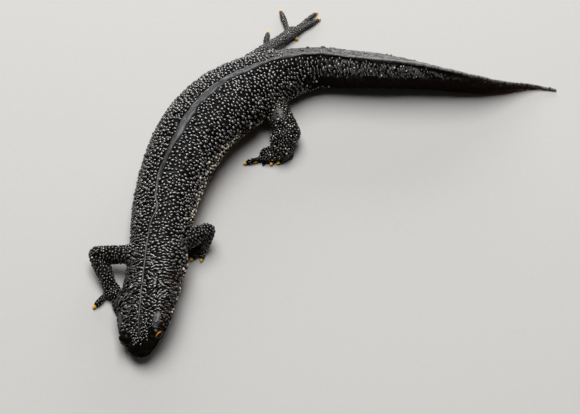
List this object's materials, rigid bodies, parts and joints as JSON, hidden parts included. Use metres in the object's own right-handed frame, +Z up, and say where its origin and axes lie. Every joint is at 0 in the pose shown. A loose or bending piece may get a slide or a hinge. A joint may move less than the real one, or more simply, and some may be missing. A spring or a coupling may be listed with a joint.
{
  "type": "salamander model",
  "caption": "Life-size still model of a great crested newt lying in a curve, head turned down one side, tail stretched out, warty black skin and low back fold.",
  "frame": {"origin": "centre of the bounding box, on the floor the newt lies on", "axes": "+Z up; the tail stretches along +X; the head points along -Y"},
  "size_m": [0.0964, 0.0892, 0.0117],
  "materials": {
    "eye_left": "golden-orange iris with a black pupil under a clear wet surface",
    "eye_right": "golden-orange iris with a black pupil under a clear wet surface",
    "head": "wet black skin, very slightly brown, with round glossy warts",
    "left_foot": "wet black skin, orange digit tips",
    "left_forearm": "wet black skin, very slightly brown, with round glossy warts",
    "left_hand": "wet black skin, orange digit tips",
    "left_shank": "wet black skin, very slightly brown, with round glossy warts",
    "left_thigh": "wet black skin, very slightly brown, with round glossy warts",
    "left_upper_arm": "wet black skin, very slightly brown, with round glossy warts",
    "lower_jaw": "black skin with fine white speckles on the chin and throat",
    "neck": "wet black skin, very slightly brown, with round glossy warts",
    "pelvis": "black warty skin above, white-tipped warts along the flank, orange belly with black blotches",
    "right_foot": "wet black skin, orange digit tips",
    "right_forearm": "wet black skin, very slightly brown, with round glossy warts",
    "right_hand": "wet black skin, orange digit tips",
    "right_shank": "wet black skin, very slightly brown, with round glossy warts",
    "right_thigh": "wet black skin, very slightly brown, with round glossy warts",
    "right_upper_arm": "wet black skin, very slightly brown, with round glossy warts",
    "tail_base": "black skin, smoother and browner low down, thin orange-brown lower edge",
    "tail_middle": "black skin, smoother and browner low down, thin orange-brown lower edge",
    "tail_rear": "black skin, smoother and browner low down, thin orange-brown lower edge",
    "tail_tip": "black skin, smoother and browner low down, thin orange-brown lower edge",
    "trunk_front": "black warty skin above, white-tipped warts along the flank, orange belly with black blotches",
    "trunk_middle": "black warty skin above, white-tipped warts along the flank, orange belly with black blotches",
    "trunk_rear": "black warty skin above, white-tipped warts along the flank, orange belly with black blotches"
  },
  "bodies": {
    "root": {"eye_left": "eye_left", "eye_right": "eye_right", "head": "head", "left_foot": "left_foot", "left_forearm": "left_forearm", "left_hand": "left_hand", "left_shank": "left_shank", "left_thigh": "left_thigh", "left_upper_arm": "left_upper_arm", "lower_jaw": "lower_jaw", "neck": "neck", "pelvis": "pelvis", "right_foot": "right_foot", "right_forearm": "right_forearm", "right_hand": "right_hand", "right_shank": "right_shank", "right_thigh": "right_thigh", "right_upper_arm": "right_upper_arm", "tail_base": "tail_base", "tail_middle": "tail_middle", "tail_rear": "tail_rear", "tail_tip": "tail_tip", "trunk_front": "trunk_front", "trunk_middle": "trunk_middle", "trunk_rear": "trunk_rear"}
  },
  "joints": []
}
